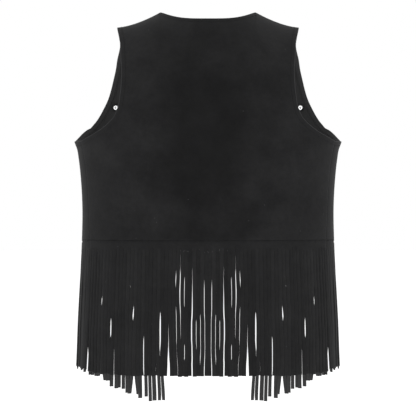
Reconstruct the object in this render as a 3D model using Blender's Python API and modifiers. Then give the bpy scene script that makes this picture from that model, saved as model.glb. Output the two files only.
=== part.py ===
"""Open western vest of black imitation suede with a long cut fringe under its hem.

The vest keeps the hollow form of a worn one: a back, two fronts that wrap round the sides, a
fringe sewn under each hem and a rivet through each front beside the armhole. Metres, +Z up.
The back faces -Y, the wearer faces +Y, and the wearer's left is -X. The origin lies between the
shoulders, level with the middle of the shoulder seams.
"""
import math
import random
from functools import lru_cache

import bmesh
import bpy
import numpy as np
from mathutils import Vector
from mathutils.bvhtree import BVHTree

# Cloth and seams
CLOTH = 0.0014
SEAM = 0.00045          # between two edges before they are thickened, 0.3 mm after that
SUEDE = (0.020, 0.020, 0.021)
STEEL = (0.80, 0.80, 0.82)

# Shoulder ridge, from the tip at the armhole to the neck point
TIP_X, TIP_Y, TIP_Z = 0.1440, -0.006, -0.0140
NECK_X, NECK_Y, NECK_Z = 0.0755, -0.012, 0.0090
RIDGE_SAG = 1.6         # power of the ridge's hollow curve
NECKLINE_Z = -0.0072    # middle of the back neckline
NECKLINE_POWER = 3.3

# The figure's upright wall: half of its width, and how far it reaches back and forward
ROUNDNESS = 2.3         # power of the level section, 2 is an ellipse
WALL = (
    # height, half width, back depth, front depth
    (-0.640, 0.2098, 0.1040, 0.1165),
    (-0.560, 0.2080, 0.1040, 0.1160),
    (-0.485, 0.2064, 0.1040, 0.1155),
    (-0.428, 0.2037, 0.1040, 0.1150),
    (-0.350, 0.2000, 0.1035, 0.1135),
    (-0.303, 0.1992, 0.1035, 0.1125),
    (-0.255, 0.2015, 0.1050, 0.1125),
    (-0.223, 0.2049, 0.1065, 0.1130),
    (-0.207, 0.2075, 0.1072, 0.1135),
    (-0.193, 0.2125, 0.1080, 0.1135),
    (-0.125, 0.2125, 0.1100, 0.1130),
)

# Heights where the upright wall starts to round over towards the shoulder
BACK_WALL_TOP = -0.125
FRONT_WALL_TOP = -0.1726

# Edges of the panels
UNDERARM_Z = -0.1950
BACK_HEM_Z = -0.3490
FRONT_HEM_Z = -0.4170   # at the front edge
HEM_SLANT = 1.2         # power that keeps the front hem level near the side seam
SIDE_SEAM = (
    # height, x on the back half of the section
    (-0.3490, 0.1835),
    (-0.2148, 0.1945),
    (-0.1950, 0.1985),
)
BACK_ARMHOLE = (
    # height, x
    (-0.1950, 0.1985),
    (-0.1807, 0.1696),
    (-0.1627, 0.1474),
    (-0.1452, 0.1386),
    (-0.1275, 0.1355),
    (-0.1087, 0.1335),
    (-0.0943, 0.1330),
    (-0.0701, 0.1344),
    (-0.0437, 0.1368),
    (-0.0140, 0.1440),
)
FRONT_ARMHOLE_FOOT = (
    # length from the side seam, height
    (0.000, -0.1950),
    (0.030, -0.1946),
    (0.061, -0.1925),
    (0.080, -0.1870),
    (0.107, FRONT_WALL_TOP),
)
FRONT_ARMHOLE = (
    # height, x on the front half of the section
    (-0.1726, 0.1940),
    (-0.1557, 0.1814),
    (-0.1390, 0.1723),
    (-0.1221, 0.1645),
    (-0.1057, 0.1593),
    (-0.0892, 0.1551),
    (-0.0737, 0.1512),
    (-0.0583, 0.1484),
    (-0.0376, 0.1430),
    (-0.0140, 0.1440),
)
FRONT_EDGE = (
    # height, x on the front half of the section
    (-0.4170, 0.0690),
    (-0.3490, 0.0672),
    (-0.2500, 0.0652),
    (-0.1500, 0.0652),
    (-0.0800, 0.0682),
    (-0.0300, 0.0728),
    (0.0090, 0.0755),
)

# Rows of the panels' grids
BACK_COLUMNS = 13       # on each half of the back
NECK_COLUMN = 6         # of these, from the armhole to the neck point
FRONT_COLUMNS = 16
BACK_LEVELS = (
    -0.349, -0.322, -0.292, -0.262, -0.235, -0.212, UNDERARM_Z, -0.188, -0.180, -0.166, -0.147,
    BACK_WALL_TOP,
)
SKIRT_ROWS = BACK_LEVELS.index(UNDERARM_Z)    # from the hem up to the underarm
FOOT_COLUMNS = 7        # columns of a front below its armhole
BACK_TILTS = (14, 28, 42, 55, 67, 78, 90)             # degrees of the round over, 90 is the ridge
FRONT_TILTS = (5, 10, 17, 28, 42, 55, 67, 78, 90)

# Fringe
FRINGE_LENGTH = 0.208
STRIP = 0.016           # uncut cloth above the slits
PITCH = 0.0062
SLIT = 0.0010
STRAND_ROWS = 3
UNEVEN_ENDS = 0.0012
BACK_PARTINGS = (
    # distance from the middle of the back, opening at the ends
    (0.0062, 0.0016),
    (0.0248, 0.0026),
    (0.0434, 0.0020),
    (0.0557, 0.0024),
    (0.1610, 0.0020),
)
FRONT_PARTINGS = (
    # distance from the front edge, opening at the ends
    (0.0440, 0.0090),
    (0.0940, 0.0080),
)
PARTING_REACH = 0.022   # how far to each side a parting pushes the strands
SPLAY = 0.018           # how far the strands of a front swing out at the most
SPLAY_START = 0.003     # and how far at the front edge
SPLAY_PEAK = 0.105      # distance from the front edge where they swing out most
SPLAY_DROP = 0.30       # part of the length in which they do so

# Rivets
RIVET_X, RIVET_Z = 0.1527, -0.1345
RIVET_RADIUS = 0.0040
RIVET_CAP = 0.0011
SHANK_RADIUS = 0.0016
CLEARANCE = 0.0003
RIVET_SIDES = 16
RIVET_STAND_OFF = 0.0007    # clears the bend of the cloth under the cap

collections = {}


def clear_scene():
    for thing in list(bpy.data.objects):
        bpy.data.objects.remove(thing, do_unlink=True)
    for name in ("western_vest", "cutters"):
        collections[name] = bpy.data.collections.new(name)
        bpy.context.scene.collection.children.link(collections[name])


def smooth(table, column, height):
    """Value of a table's column at a height, on a smooth curve through its rows."""
    heights = np.array([row[0] for row in table])
    values = np.array([row[column] for row in table])
    slopes = np.gradient(values, heights)
    i = int(np.clip(np.searchsorted(heights, height) - 1, 0, len(heights) - 2))
    step = heights[i + 1] - heights[i]
    t = float(np.clip((height - heights[i]) / step, 0, 1))
    start = (2 * t**3 - 3 * t**2 + 1) * values[i] + (t**3 - 2 * t**2 + t) * step * slopes[i]
    end = (3 * t**2 - 2 * t**3) * values[i + 1] + (t**3 - t**2) * step * slopes[i + 1]
    return start + end


def ease(t):
    """0 to 1 with level ends."""
    t = min(max(t, 0.0), 1.0)
    return t * t * (3 - 2 * t)


@lru_cache(maxsize=None)
def ring(height):
    """Half of the level section: x, y and length along it, from mid back round the side to mid front."""
    half_width = smooth(WALL, 1, height)
    back = smooth(WALL, 2, height)
    front = smooth(WALL, 3, height)
    turn = np.linspace(-math.pi / 2, math.pi / 2, 241)
    across = np.abs(np.cos(turn))
    forward = np.sin(turn)
    x = half_width * across ** (2 / ROUNDNESS)
    reach = np.where(forward < 0, -back, front)
    y = reach * np.abs(forward) ** (2 / ROUNDNESS)
    steps = np.hypot(np.diff(x), np.diff(y))
    along = np.concatenate(([0.0], np.cumsum(steps)))
    return x, y, along


def along_back(height, x):
    """Length along the section to the point of its back half with this x."""
    xs, _, along = ring(height)
    middle = len(xs) // 2 + 1
    return float(np.interp(x, xs[:middle], along[:middle]))


def along_front(height, x):
    xs, _, along = ring(height)
    middle = len(xs) // 2
    return float(np.interp(-x, -xs[middle:], along[middle:]))


def on_ring(height, length):
    """x and y at a length along the section; a negative length is on the other side."""
    xs, ys, along = ring(height)
    x = float(np.interp(abs(length), along, xs))
    y = float(np.interp(abs(length), along, ys))
    return math.copysign(x, length), y


def ridge(x):
    """y and z of the shoulder ridge, level past the tip and rounding up to the nape inside the neck."""
    rise = min(max((TIP_X - abs(x)) / (TIP_X - NECK_X), 0.0), 1.0)
    y = TIP_Y + (NECK_Y - TIP_Y) * rise
    z = TIP_Z + (NECK_Z - TIP_Z) * rise**RIDGE_SAG
    if abs(x) < NECK_X:
        slope = RIDGE_SAG * (NECK_Z - TIP_Z) / (TIP_X - NECK_X)
        z += slope * NECK_X / 2 * (1 - (x / NECK_X) ** 2)
    return y, z


def round_over(x, wall_y, wall_top, tilt):
    """A point above the upright wall, on the quarter round from its top to the shoulder ridge."""
    ridge_y, ridge_z = ridge(x)
    y = ridge_y + (wall_y - ridge_y) * math.cos(tilt)
    z = wall_top + (ridge_z - wall_top) * math.sin(tilt)
    return Vector((x, y, z))


def neckline_tilt(x):
    """How far round the back reaches at this x: to the ridge, or to the neckline inside it."""
    if abs(x) >= NECK_X:
        return math.pi / 2
    _, ridge_z = ridge(x)
    top = NECKLINE_Z + (NECK_Z - NECKLINE_Z) * (abs(x) / NECK_X) ** NECKLINE_POWER
    return math.asin((top - BACK_WALL_TOP) / (ridge_z - BACK_WALL_TOP))


def edge_height(wall_top, tilt):
    """Height of an armhole's edge on a row of the round over."""
    return wall_top + (TIP_Z - wall_top) * math.sin(tilt)


def back_share(column):
    """Part of the way from the middle of the back to its edge, with a column on the neck point."""
    neck_share = along_back(BACK_WALL_TOP, NECK_X) / along_back(BACK_WALL_TOP, TIP_X)
    return float(np.interp(column, (0, NECK_COLUMN, BACK_COLUMNS), (1, neck_share, 0)))


def back_point(column, row):
    """A corner of the -X half of the back, from the hem up and from the edge to the middle."""
    across = -back_share(column)
    if row < len(BACK_LEVELS):
        height = BACK_LEVELS[row]
        edge_table = SIDE_SEAM if height <= UNDERARM_Z else BACK_ARMHOLE
        edge = along_back(height, smooth(edge_table, 1, height)) - SEAM / 2
        x, y = on_ring(height, across * edge)
        return Vector((x, y, height))
    full_tilt = math.radians(BACK_TILTS[row - len(BACK_LEVELS)])
    edge_x = smooth(BACK_ARMHOLE, 1, edge_height(BACK_WALL_TOP, full_tilt))
    edge = along_back(BACK_WALL_TOP, edge_x)
    x, wall_y = on_ring(BACK_WALL_TOP, across * edge)
    top_x, _ = on_ring(BACK_WALL_TOP, across * along_back(BACK_WALL_TOP, TIP_X))
    tilt = full_tilt * neckline_tilt(top_x) / (math.pi / 2)
    point = round_over(x, wall_y, BACK_WALL_TOP, tilt)
    point.y -= SEAM / 2
    return point


def hem_height(share):
    """Height of a front's hem, from the side seam (0) to the front edge (1), straight on each column."""
    knots = np.linspace(0, 1, FRONT_COLUMNS + 1)
    drop = np.sin(math.pi / 2 * knots**HEM_SLANT) ** 2
    return float(np.interp(share, knots, BACK_HEM_Z + (FRONT_HEM_Z - BACK_HEM_Z) * drop))


def seam_length(height):
    """Length along the section from mid back to the side seam, or to its line below the hem."""
    if height >= BACK_HEM_Z:
        return along_back(height, smooth(SIDE_SEAM, 1, height))
    quarter = along_back(height, smooth(WALL, 1, height))
    hem_quarter = along_back(BACK_HEM_Z, smooth(WALL, 1, BACK_HEM_Z))
    return seam_length(BACK_HEM_Z) * quarter / hem_quarter


def front_length(height, share):
    """Length along the section, from the side seam (0) to the front edge (1)."""
    seam = seam_length(height) + SEAM / 2
    edge = along_front(height, smooth(FRONT_EDGE, 1, height))
    return seam + (edge - seam) * share


def front_point(column, row, side):
    """A corner of a front's grid, from the hem up and from the side seam to the front edge."""
    share = column / FRONT_COLUMNS
    if row <= SKIRT_ROWS:
        up = row / SKIRT_ROWS
        foot = min(column / FOOT_COLUMNS, 1) * FRONT_ARMHOLE_FOOT[-1][0]
        foot_z = smooth(FRONT_ARMHOLE_FOOT, 1, foot)
        below_back = (hem_height(share) - BACK_HEM_Z) * (1 - up)
        above_back = (foot_z - UNDERARM_Z) * up
        height = BACK_LEVELS[row] + below_back + above_back
        x, y = on_ring(height, front_length(height, share))
        return Vector((side * x, y, height))
    tilt = math.radians(FRONT_TILTS[row - SKIRT_ROWS - 1])
    outer_x = smooth(FRONT_ARMHOLE, 1, edge_height(FRONT_WALL_TOP, tilt))
    inner_z = FRONT_WALL_TOP + (NECK_Z - FRONT_WALL_TOP) * math.sin(tilt)
    outer = along_front(FRONT_WALL_TOP, outer_x)
    inner = along_front(FRONT_WALL_TOP, smooth(FRONT_EDGE, 1, inner_z))
    strap_share = (column - FOOT_COLUMNS) / (FRONT_COLUMNS - FOOT_COLUMNS)
    x, wall_y = on_ring(FRONT_WALL_TOP, outer + (inner - outer) * strap_share)
    point = round_over(x, wall_y, FRONT_WALL_TOP, tilt)
    return Vector((side * point.x, point.y + SEAM / 2, point.z))


def parting_shift(distance, partings, fall):
    """Sideways shift of a strand at this distance, away from the partings that open below it."""
    shift = 0.0
    for place, opening in partings:
        away = distance - place
        push = opening / 2 * math.exp(-abs(away) / PARTING_REACH)
        shift += math.copysign(push, away) * ease(fall)
    return shift


def fringe_rows(hem, end):
    """Heights of a strand's corners, from its end up to the root and the strip's top."""
    root = hem - STRIP
    heights = [end + (root - end) * i / STRAND_ROWS for i in range(STRAND_ROWS + 1)]
    return heights + [hem - SEAM]


def strand_place(column, strands, width):
    """Distance of a strand's edge, and of its middle, from the start of the fringe."""
    strand, right = divmod(column, 2)
    pitch = width / strands
    middle = (strand + 0.5) * pitch
    half = (pitch - SLIT) / 2
    return middle + (half if right else -half), middle


def back_fringe_point(column, row, strands, ends):
    half = seam_length(BACK_HEM_Z) - SEAM / 2
    place, middle = strand_place(column, strands, 2 * half)
    mirror = min(column // 2, strands - 1 - column // 2)
    height = fringe_rows(BACK_HEM_Z, BACK_HEM_Z - FRINGE_LENGTH + ends[mirror])[row]
    fall = (STRAND_ROWS - min(row, STRAND_ROWS)) / STRAND_ROWS
    distance = middle - half
    shift = math.copysign(1, distance) * parting_shift(abs(distance), BACK_PARTINGS, fall)
    flare = seam_length(height) / seam_length(BACK_HEM_Z)
    x, y = on_ring(height, (place - half) * flare + shift)
    return Vector((x, y, height))


def front_splay(distance, width):
    """How far a front's strand at this distance from the front edge swings out."""
    if distance < SPLAY_PEAK:
        return SPLAY_START + (SPLAY - SPLAY_START) * distance / SPLAY_PEAK
    return SPLAY * (width - distance) / (width - SPLAY_PEAK)


def front_fringe_point(column, row, strands, ends, side):
    width = front_length(BACK_HEM_Z, 1) - front_length(BACK_HEM_Z, 0)
    place, middle = strand_place(column, strands, width)
    share = place / width
    fall = (STRAND_ROWS - min(row, STRAND_ROWS)) / STRAND_ROWS
    hem = hem_height(share) if row > STRAND_ROWS else hem_height(middle / width)
    height = fringe_rows(hem, hem - FRINGE_LENGTH + ends[column // 2])[row]
    from_edge = width - middle
    swing = front_splay(from_edge, width) * ease(fall / SPLAY_DROP)
    shift = parting_shift(from_edge, FRONT_PARTINGS, fall) + swing
    x, y = on_ring(height, front_length(height, share) - shift)
    return Vector((side * x, y, height))


def material(name, colour, roughness, metallic):
    made = bpy.data.materials.new(name)
    made.use_nodes = True
    shader = made.node_tree.nodes["Principled BSDF"]
    shader.inputs["Base Color"].default_value = (*colour, 1)
    shader.inputs["Roughness"].default_value = roughness
    shader.inputs["Metallic"].default_value = metallic
    return made


def add_object(name, mesh, surface, collection="western_vest"):
    thing = bpy.data.objects.new(name, mesh)
    if surface:
        mesh.materials.append(surface)
    collections[collection].objects.link(thing)
    return thing


def sheet(name, columns, rows, point, surface, left_out=None, mirrored=False):
    """A cloth wall on a grid of quads, without the quads for which left_out is true."""
    grid = bmesh.new()
    bmesh.ops.create_grid(grid, x_segments=columns, y_segments=rows, size=0.5)
    spare = []
    for face in grid.faces:
        middle = face.calc_center_median()
        column = math.floor((middle.x + 0.5) * columns)
        row = math.floor((middle.y + 0.5) * rows)
        if left_out and left_out(column, row):
            spare.append(face)
    bmesh.ops.delete(grid, geom=spare, context="FACES")
    for corner in grid.verts:
        column = round((corner.co.x + 0.5) * columns)
        row = round((corner.co.y + 0.5) * rows)
        corner.co = point(column, row)
    mesh = bpy.data.meshes.new(name)
    grid.to_mesh(mesh)
    grid.free()
    mesh.shade_smooth()
    wall = add_object(name, mesh, surface)
    if mirrored:
        mirror = wall.modifiers.new("other_half", "MIRROR")
        mirror.use_axis = (True, False, False)
        mirror.use_mirror_merge = True
        mirror.merge_threshold = 0.0001
    thick = wall.modifiers.new("cloth", "SOLIDIFY")
    thick.thickness = CLOTH
    thick.offset = 0.0
    return wall


def in_slit(column, row):
    """Whether a quad of a fringe's grid lies between two strands."""
    return row < STRAND_ROWS and column % 2 == 1


def in_front_armhole(column, row):
    return row >= SKIRT_ROWS and column < FOOT_COLUMNS


def make_fringe(name, strands, point, surface):
    return sheet(name, 2 * strands - 1, STRAND_ROWS + 1, point, surface, in_slit)


def rivet_profile():
    """Radius and height of the rivet's outline: a domed cap, the shank and a domed washer."""
    near = CLOTH / 2 + RIVET_STAND_OFF
    far = near + RIVET_CAP
    rim = near + RIVET_CAP * 0.45
    half = [(0.0, far), (RIVET_RADIUS * 0.6, far * 0.98), (RIVET_RADIUS * 0.9, rim + RIVET_CAP * 0.3),
            (RIVET_RADIUS, rim), (RIVET_RADIUS, near), (SHANK_RADIUS, near)]
    return half + [(radius, -height) for radius, height in reversed(half)]


def make_rivet(name, front, side, surface):
    """A rivet through the front, on its surface and square to it, in a hole that clears the shank."""
    tree = BVHTree.FromObject(front, bpy.context.evaluated_depsgraph_get())
    behind = Vector((side * RIVET_X, 0.0, RIVET_Z))
    hit, _, _, _ = tree.ray_cast(behind, Vector((0, 1, 0)))
    below, _, _, _ = tree.ray_cast(behind - Vector((0, 0, 0.004)), Vector((0, 1, 0)))
    beside, _, _, _ = tree.ray_cast(behind + Vector((0.004, 0, 0)), Vector((0, 1, 0)))
    outward = (hit - below).cross(beside - hit).normalized()
    if outward.y < 0:
        outward.negate()
    centre = hit + outward * CLOTH / 2
    turn = Vector((0, 0, 1)).rotation_difference(outward)

    profile = bmesh.new()
    corners = [profile.verts.new((radius, 0, height)) for radius, height in rivet_profile()]
    for first, second in zip(corners, corners[1:]):
        profile.edges.new((first, second))
    mesh = bpy.data.meshes.new(name)
    profile.to_mesh(mesh)
    profile.free()
    rivet = add_object(name, mesh, surface)
    spin = rivet.modifiers.new("turned", "SCREW")
    spin.steps = RIVET_SIDES
    spin.render_steps = RIVET_SIDES
    spin.use_merge_vertices = True
    spin.merge_threshold = 0.00005
    spin.use_normal_calculate = True

    bpy.ops.mesh.primitive_cylinder_add(
        vertices=RIVET_SIDES, radius=SHANK_RADIUS + CLEARANCE, depth=0.012)
    cutter = bpy.context.object
    cutter.name = name + "_hole"
    for holder in list(cutter.users_collection):
        holder.objects.unlink(cutter)
    collections["cutters"].objects.link(cutter)
    cutter.hide_render = True
    cutter.display_type = "WIRE"
    for thing in (rivet, cutter):
        thing.rotation_mode = "QUATERNION"
        thing.rotation_quaternion = turn
        thing.location = centre
    hole = front.modifiers.new("rivet_hole", "BOOLEAN")
    hole.operation = "DIFFERENCE"
    hole.solver = "EXACT"
    hole.object = cutter
    return rivet


def make_vest():
    suede = material("suede_panels", SUEDE, 0.95, 0.0)
    fringe_suede = material("suede_fringe", SUEDE, 0.95, 0.0)
    steel = material("rivet_steel", STEEL, 0.30, 1.0)
    chance = random.Random(11)

    sheet("back", BACK_COLUMNS, len(BACK_LEVELS) + len(BACK_TILTS) - 1, back_point, suede,
          mirrored=True)
    strands = 2 * round(seam_length(BACK_HEM_Z) / PITCH)
    ends = [chance.uniform(-UNEVEN_ENDS, UNEVEN_ENDS) for _ in range(strands)]
    make_fringe("fringe_back", strands,
                lambda column, row: back_fringe_point(column, row, strands, ends), fringe_suede)

    front_rows = SKIRT_ROWS + len(FRONT_TILTS)
    front_width = front_length(BACK_HEM_Z, 1) - front_length(BACK_HEM_Z, 0)
    front_strands = round(front_width / PITCH)
    front_ends = [chance.uniform(-UNEVEN_ENDS, UNEVEN_ENDS) for _ in range(front_strands)]
    for name, side in (("left", -1), ("right", 1)):
        front = sheet("front_" + name, FRONT_COLUMNS, front_rows,
                      lambda column, row, side=side: front_point(column, row, side), suede,
                      in_front_armhole)
        make_fringe("fringe_front_" + name, front_strands,
                    lambda column, row, side=side: front_fringe_point(
                        column, row, front_strands, front_ends, side), fringe_suede)
        make_rivet("rivet_" + name, front, side, steel)


clear_scene()
make_vest()
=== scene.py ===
"""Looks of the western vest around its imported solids: cloth, fringe, stitches, rivets and light.

The panels are finer cloth on the same form as the solids. Metres, +Z up, the back faces -Y.
"""

import math
import random

import bpy
import numpy as np
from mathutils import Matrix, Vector
from mathutils.bvhtree import BVHTree
from mathutils.kdtree import KDTree


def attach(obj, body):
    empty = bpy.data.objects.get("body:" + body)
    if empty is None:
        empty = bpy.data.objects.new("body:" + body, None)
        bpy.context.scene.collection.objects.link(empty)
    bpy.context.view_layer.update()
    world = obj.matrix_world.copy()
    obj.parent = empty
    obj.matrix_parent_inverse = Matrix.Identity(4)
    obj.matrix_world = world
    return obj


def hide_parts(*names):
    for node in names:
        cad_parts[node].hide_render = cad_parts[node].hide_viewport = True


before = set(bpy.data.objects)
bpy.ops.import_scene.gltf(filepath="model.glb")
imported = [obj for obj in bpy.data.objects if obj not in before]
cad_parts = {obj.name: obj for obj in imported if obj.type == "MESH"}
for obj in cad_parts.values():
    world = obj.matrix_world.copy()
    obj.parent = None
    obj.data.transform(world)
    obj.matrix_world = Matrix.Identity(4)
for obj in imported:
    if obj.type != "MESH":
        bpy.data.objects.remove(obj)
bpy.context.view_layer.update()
scene = bpy.context.scene

# Cloth and seams
CLOTH = 0.0014
EDGE_ROUND = 0.0007     # how far the rounded rim of a panel reaches in
RIM_ANGLES = (45, 0, -45)
SEAM = -0.0003          # the panels touch at a seam, with a little overlap

# Shoulder ridge, from the tip at the armhole to the neck point
TIP_X, TIP_Y, TIP_Z = 0.1440, -0.006, -0.0140
NECK_X, NECK_Y, NECK_Z = 0.0755, -0.012, 0.0090
RIDGE_SAG = 1.6
NECKLINE_Z = -0.0072
NECKLINE_POWER = 3.3

# The figure's upright wall
ROUNDNESS = 2.3
WALL = (
    # height, half width, back depth, front depth
    (-0.640, 0.2098, 0.1040, 0.1165),
    (-0.560, 0.2080, 0.1040, 0.1160),
    (-0.485, 0.2064, 0.1040, 0.1155),
    (-0.428, 0.2037, 0.1040, 0.1150),
    (-0.350, 0.2000, 0.1035, 0.1135),
    (-0.303, 0.1992, 0.1035, 0.1125),
    (-0.255, 0.2015, 0.1050, 0.1125),
    (-0.223, 0.2049, 0.1065, 0.1130),
    (-0.207, 0.2075, 0.1072, 0.1135),
    (-0.193, 0.2125, 0.1080, 0.1135),
    (-0.125, 0.2125, 0.1100, 0.1130),
)
BACK_WALL_TOP = -0.125
FRONT_WALL_TOP = -0.1726

# Edges of the panels
UNDERARM_Z = -0.1950
BACK_HEM_Z = -0.3490
FRONT_HEM_Z = -0.4170
HEM_SLANT = 1.2
SIDE_SEAM = (
    # height, x on the back half of the section
    (-0.3490, 0.1835),
    (-0.2148, 0.1945),
    (-0.1950, 0.1985),
)
BACK_ARMHOLE = (
    # height, x
    (-0.1950, 0.1985),
    (-0.1807, 0.1696),
    (-0.1627, 0.1474),
    (-0.1452, 0.1386),
    (-0.1275, 0.1355),
    (-0.1087, 0.1335),
    (-0.0943, 0.1330),
    (-0.0701, 0.1344),
    (-0.0437, 0.1368),
    (-0.0140, 0.1440),
)
FRONT_ARMHOLE_FOOT = (
    # length from the side seam, height
    (0.000, -0.1950),
    (0.030, -0.1946),
    (0.061, -0.1925),
    (0.080, -0.1870),
    (0.107, FRONT_WALL_TOP),
)
FRONT_ARMHOLE = (
    # height, x on the front half of the section
    (-0.1726, 0.1940),
    (-0.1557, 0.1814),
    (-0.1390, 0.1723),
    (-0.1221, 0.1645),
    (-0.1057, 0.1593),
    (-0.0892, 0.1551),
    (-0.0737, 0.1512),
    (-0.0583, 0.1484),
    (-0.0376, 0.1430),
    (-0.0140, 0.1440),
)
FRONT_EDGE = (
    # height, x on the front half of the section
    (-0.4170, 0.0690),
    (-0.3490, 0.0672),
    (-0.2500, 0.0652),
    (-0.1500, 0.0652),
    (-0.0800, 0.0682),
    (-0.0300, 0.0728),
    (0.0090, 0.0755),
)

# Fineness of the panels' grids
BACK_COLUMNS = 150      # over the whole width
BACK_WALL_ROWS = 90
BACK_TOP_ROWS = 66
FRONT_COLUMNS = 96
FOOT_COLUMNS = 42       # of these, below the armhole
FRONT_WALL_ROWS = 66
FRONT_TOP_ROWS = 80

# Fringe
FRINGE_LENGTH = 0.208
STRIP = 0.0145
OVERLAP = 0.00006       # of two strands where their slit is closed
BACK_STRANDS = 66
FRONT_STRANDS = 36
STRAND_COLUMNS = 4
STRAND_ROWS = 22
STRIP_ROWS = 8
TUCK = 0.007            # of the strip under the hem
TUCK_DEPTH = 0.0016
TUCK_RISE = 0.0035      # height over which the strip goes in
BELOW_ROOT = 0.0006     # from the end of a slit to the strands' first row
CREVICE = 0.00015       # width of the slit columns above the slits
PARTING_REACH = 0.016
TO_THE_END = (-0.700, -0.710)   # heights below the strands, where no slit closes
BACK_OPENINGS = (
    # slits from mid back, opening, height where it starts, opens fully, closes, is shut
    (1, 0.0011, -0.400, -0.430, *TO_THE_END),
    (2, 0.0014, -0.456, -0.470, -0.532, -0.545),
    (3, 0.0015, -0.464, -0.476, -0.515, -0.528),
    (4, 0.0023, -0.375, -0.480, *TO_THE_END),
    (6, 0.0010, -0.400, -0.412, -0.448, -0.463),
    (6, 0.0024, -0.500, -0.508, -0.528, -0.540),
    (7, 0.0015, -0.390, -0.415, -0.515, -0.530),
    (8, 0.0012, -0.397, -0.404, -0.414, -0.424),
    (8, 0.0010, -0.442, -0.462, -0.560, -0.700),
    (9, -0.0010, -0.450, -0.500, *TO_THE_END),
    (10, 0.0038, -0.498, -0.560, *TO_THE_END),
    (12, 0.0020, -0.455, -0.472, -0.512, -0.530),
    (16, 0.0022, -0.490, -0.505, -0.545, -0.560),
    (19, 0.0026, -0.440, -0.452, -0.466, -0.476),
    (25, 0.0024, -0.468, -0.478, -0.498, -0.508),
    (28, 0.0020, -0.418, -0.428, -0.442, -0.455),
    (32, 0.0016, -0.510, -0.520, -0.550, -0.560),
)
DRIFT, DRIFT_PLACE, DRIFT_REACH = 0.0045, 0.0478, 0.013    # of back strands towards the middle
DRIFT_BEFORE = 0.35     # of it, the other way, near the roots
DRIFT_BEFORE_DROP = 0.45
FRONT_WAYS = (
    # slits from the front edge, x of the slit where the strands end
    (0, 0.0718),
    (1, 0.0773),
    (2, 0.0843),
    (3, 0.0930),
    (4, 0.0996),
    (5, 0.1075),
    (7, 0.1227),
    (9, 0.1373),
    (10, 0.1440),
    (12, 0.1559),
    (13, 0.1618),
    (15, 0.1752),
    (17, 0.1862),
    (20, 0.1962),
)
FRONT_OPENINGS = (
    # slits from the front edge, opening, height where it starts, opens fully, closes, is shut
    (1, 0.0026, -0.466, -0.480, -0.520, -0.540),
    (1, 0.0014, -0.608, -0.622, *TO_THE_END),
    (2, 0.0026, -0.500, -0.585, *TO_THE_END),
    (3, 0.0008, -0.535, -0.590, *TO_THE_END),
    (4, 0.0014, -0.545, -0.590, *TO_THE_END),
    (5, 0.0034, -0.470, -0.500, *TO_THE_END),
    (7, 0.0075, -0.440, -0.460, -0.488, -0.505),
    (7, 0.0100, -0.565, -0.625, *TO_THE_END),
    (9, 0.0014, -0.550, -0.580, *TO_THE_END),
    (10, 0.0014, -0.550, -0.580, *TO_THE_END),
    (12, 0.0012, -0.570, -0.585, *TO_THE_END),
    (13, 0.0060, -0.465, -0.480, -0.505, -0.520),
    (15, 0.0075, -0.410, -0.425, -0.455, -0.470),
    (15, 0.0094, -0.555, -0.600, *TO_THE_END),
    (17, 0.0014, -0.540, -0.565, *TO_THE_END),
    (20, 0.0045, -0.525, -0.545, *TO_THE_END),
)
FRONT_TRIM = (
    # strands from the front edge, how much shorter they are cut
    (0, 0.0030),
    (3, 0.0030),
    (5, 0.0060),
    (8, 0.0080),
    (12, 0.0090),
    (14, 0.0140),
    (16, 0.0150),
    (19, 0.0100),
    (35, 0.0080),
)
BACK_TRIM, BACK_TRIM_REACH = 0.0070, 0.012      # of the back's strands beside the side seams
LOOSE_SWAY = 0.4        # of the front strands' sideways sway, beside their ways
LOOSE_SLITS = 0.45      # share of the other slits that open a little
LOOSE_OPENING = (0.0004, 0.0009)
LOOSE_START = (-0.375, -0.500)
LOOSE_LENGTH = (0.05, 0.13)
LOOSE_FADE = 0.02       # height over which such a slit opens or closes
SPREAD_DROP = 0.45      # part of the length in which the front strands take up their ways
BULGE, BULGE_REACH = 0.0038, 0.035      # how much further out the first ones swing half-way
BULGE_DROP = 0.35       # part of the length for that
CROWDED = 0.08          # overlap of neighbours, of their width, that makes a crowd
CROWD_START = 0.2       # of that overlap
FLICK = 0.0045          # how far the last strands at the side seams stand out at their ends
FLICK_REACH = 0.016
STAGGER = 0.0003        # the most that a strand lies out or in
STAGGER_DROP = 0.15     # part of the length for that
LIVELY_BACK, LIVELY_FRONT = 0.40, 1.1
LAYERING = 0.0005       # crowded strands lie before and behind each other
LAYERING_DROP = 0.1     # part of the length for that
CURL_DROP = 0.06        # part of the length over which a strand's edges curl in
SWAY_OUT = 0.8          # of a strand's sideways sway
STRAND_RIM = 0.0006
ROOT_RIM = 0.0001

# Turned edges and stitches
HEM_WIDTH = 0.0092
FOLD = 0.0011           # thickness of the cloth turned in at a hem
FOLD_RIM = 0.0005
FOLD_SUNK = 0.0001      # of it into the panel
FOLD_PLACES = (0.0004, 0.0033, 0.0062, HEM_WIDTH)
BACK_INSIDE = (0, -0.10, -0.15)     # a point of the back, inwards from each of its hems
ARMHOLE_INSIDE = (0.12, 0.10, -0.26)    # and of a front, for its armhole
EDGE_INSIDE = (0.16, 0.08, -0.25)       # and for its edge
HEM_STEP = 0.003        # along a curve, for turned cloth
STITCH_STEP = 0.0008
NEAR_STEP = 0.001       # for the distance from a hem
HEM_STITCH = 0.0072     # from the edge to the row of stitches
STITCH_MARGIN = 0.002   # without stitches at both ends of a row
STITCH_LENGTH = 0.0027
STITCH_GAP = 0.0008
STITCH_RADIUS = 0.00030
STITCH_SIDES = 6
STITCH_RINGS = (
    # part of the length, part of the radius, height over the cloth in radii
    (0.00, 0.35, -0.9),
    (0.16, 0.85, 0.3),
    (0.50, 1.00, 0.6),
    (0.84, 0.85, 0.3),
    (1.00, 0.35, -0.9),
)

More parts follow.
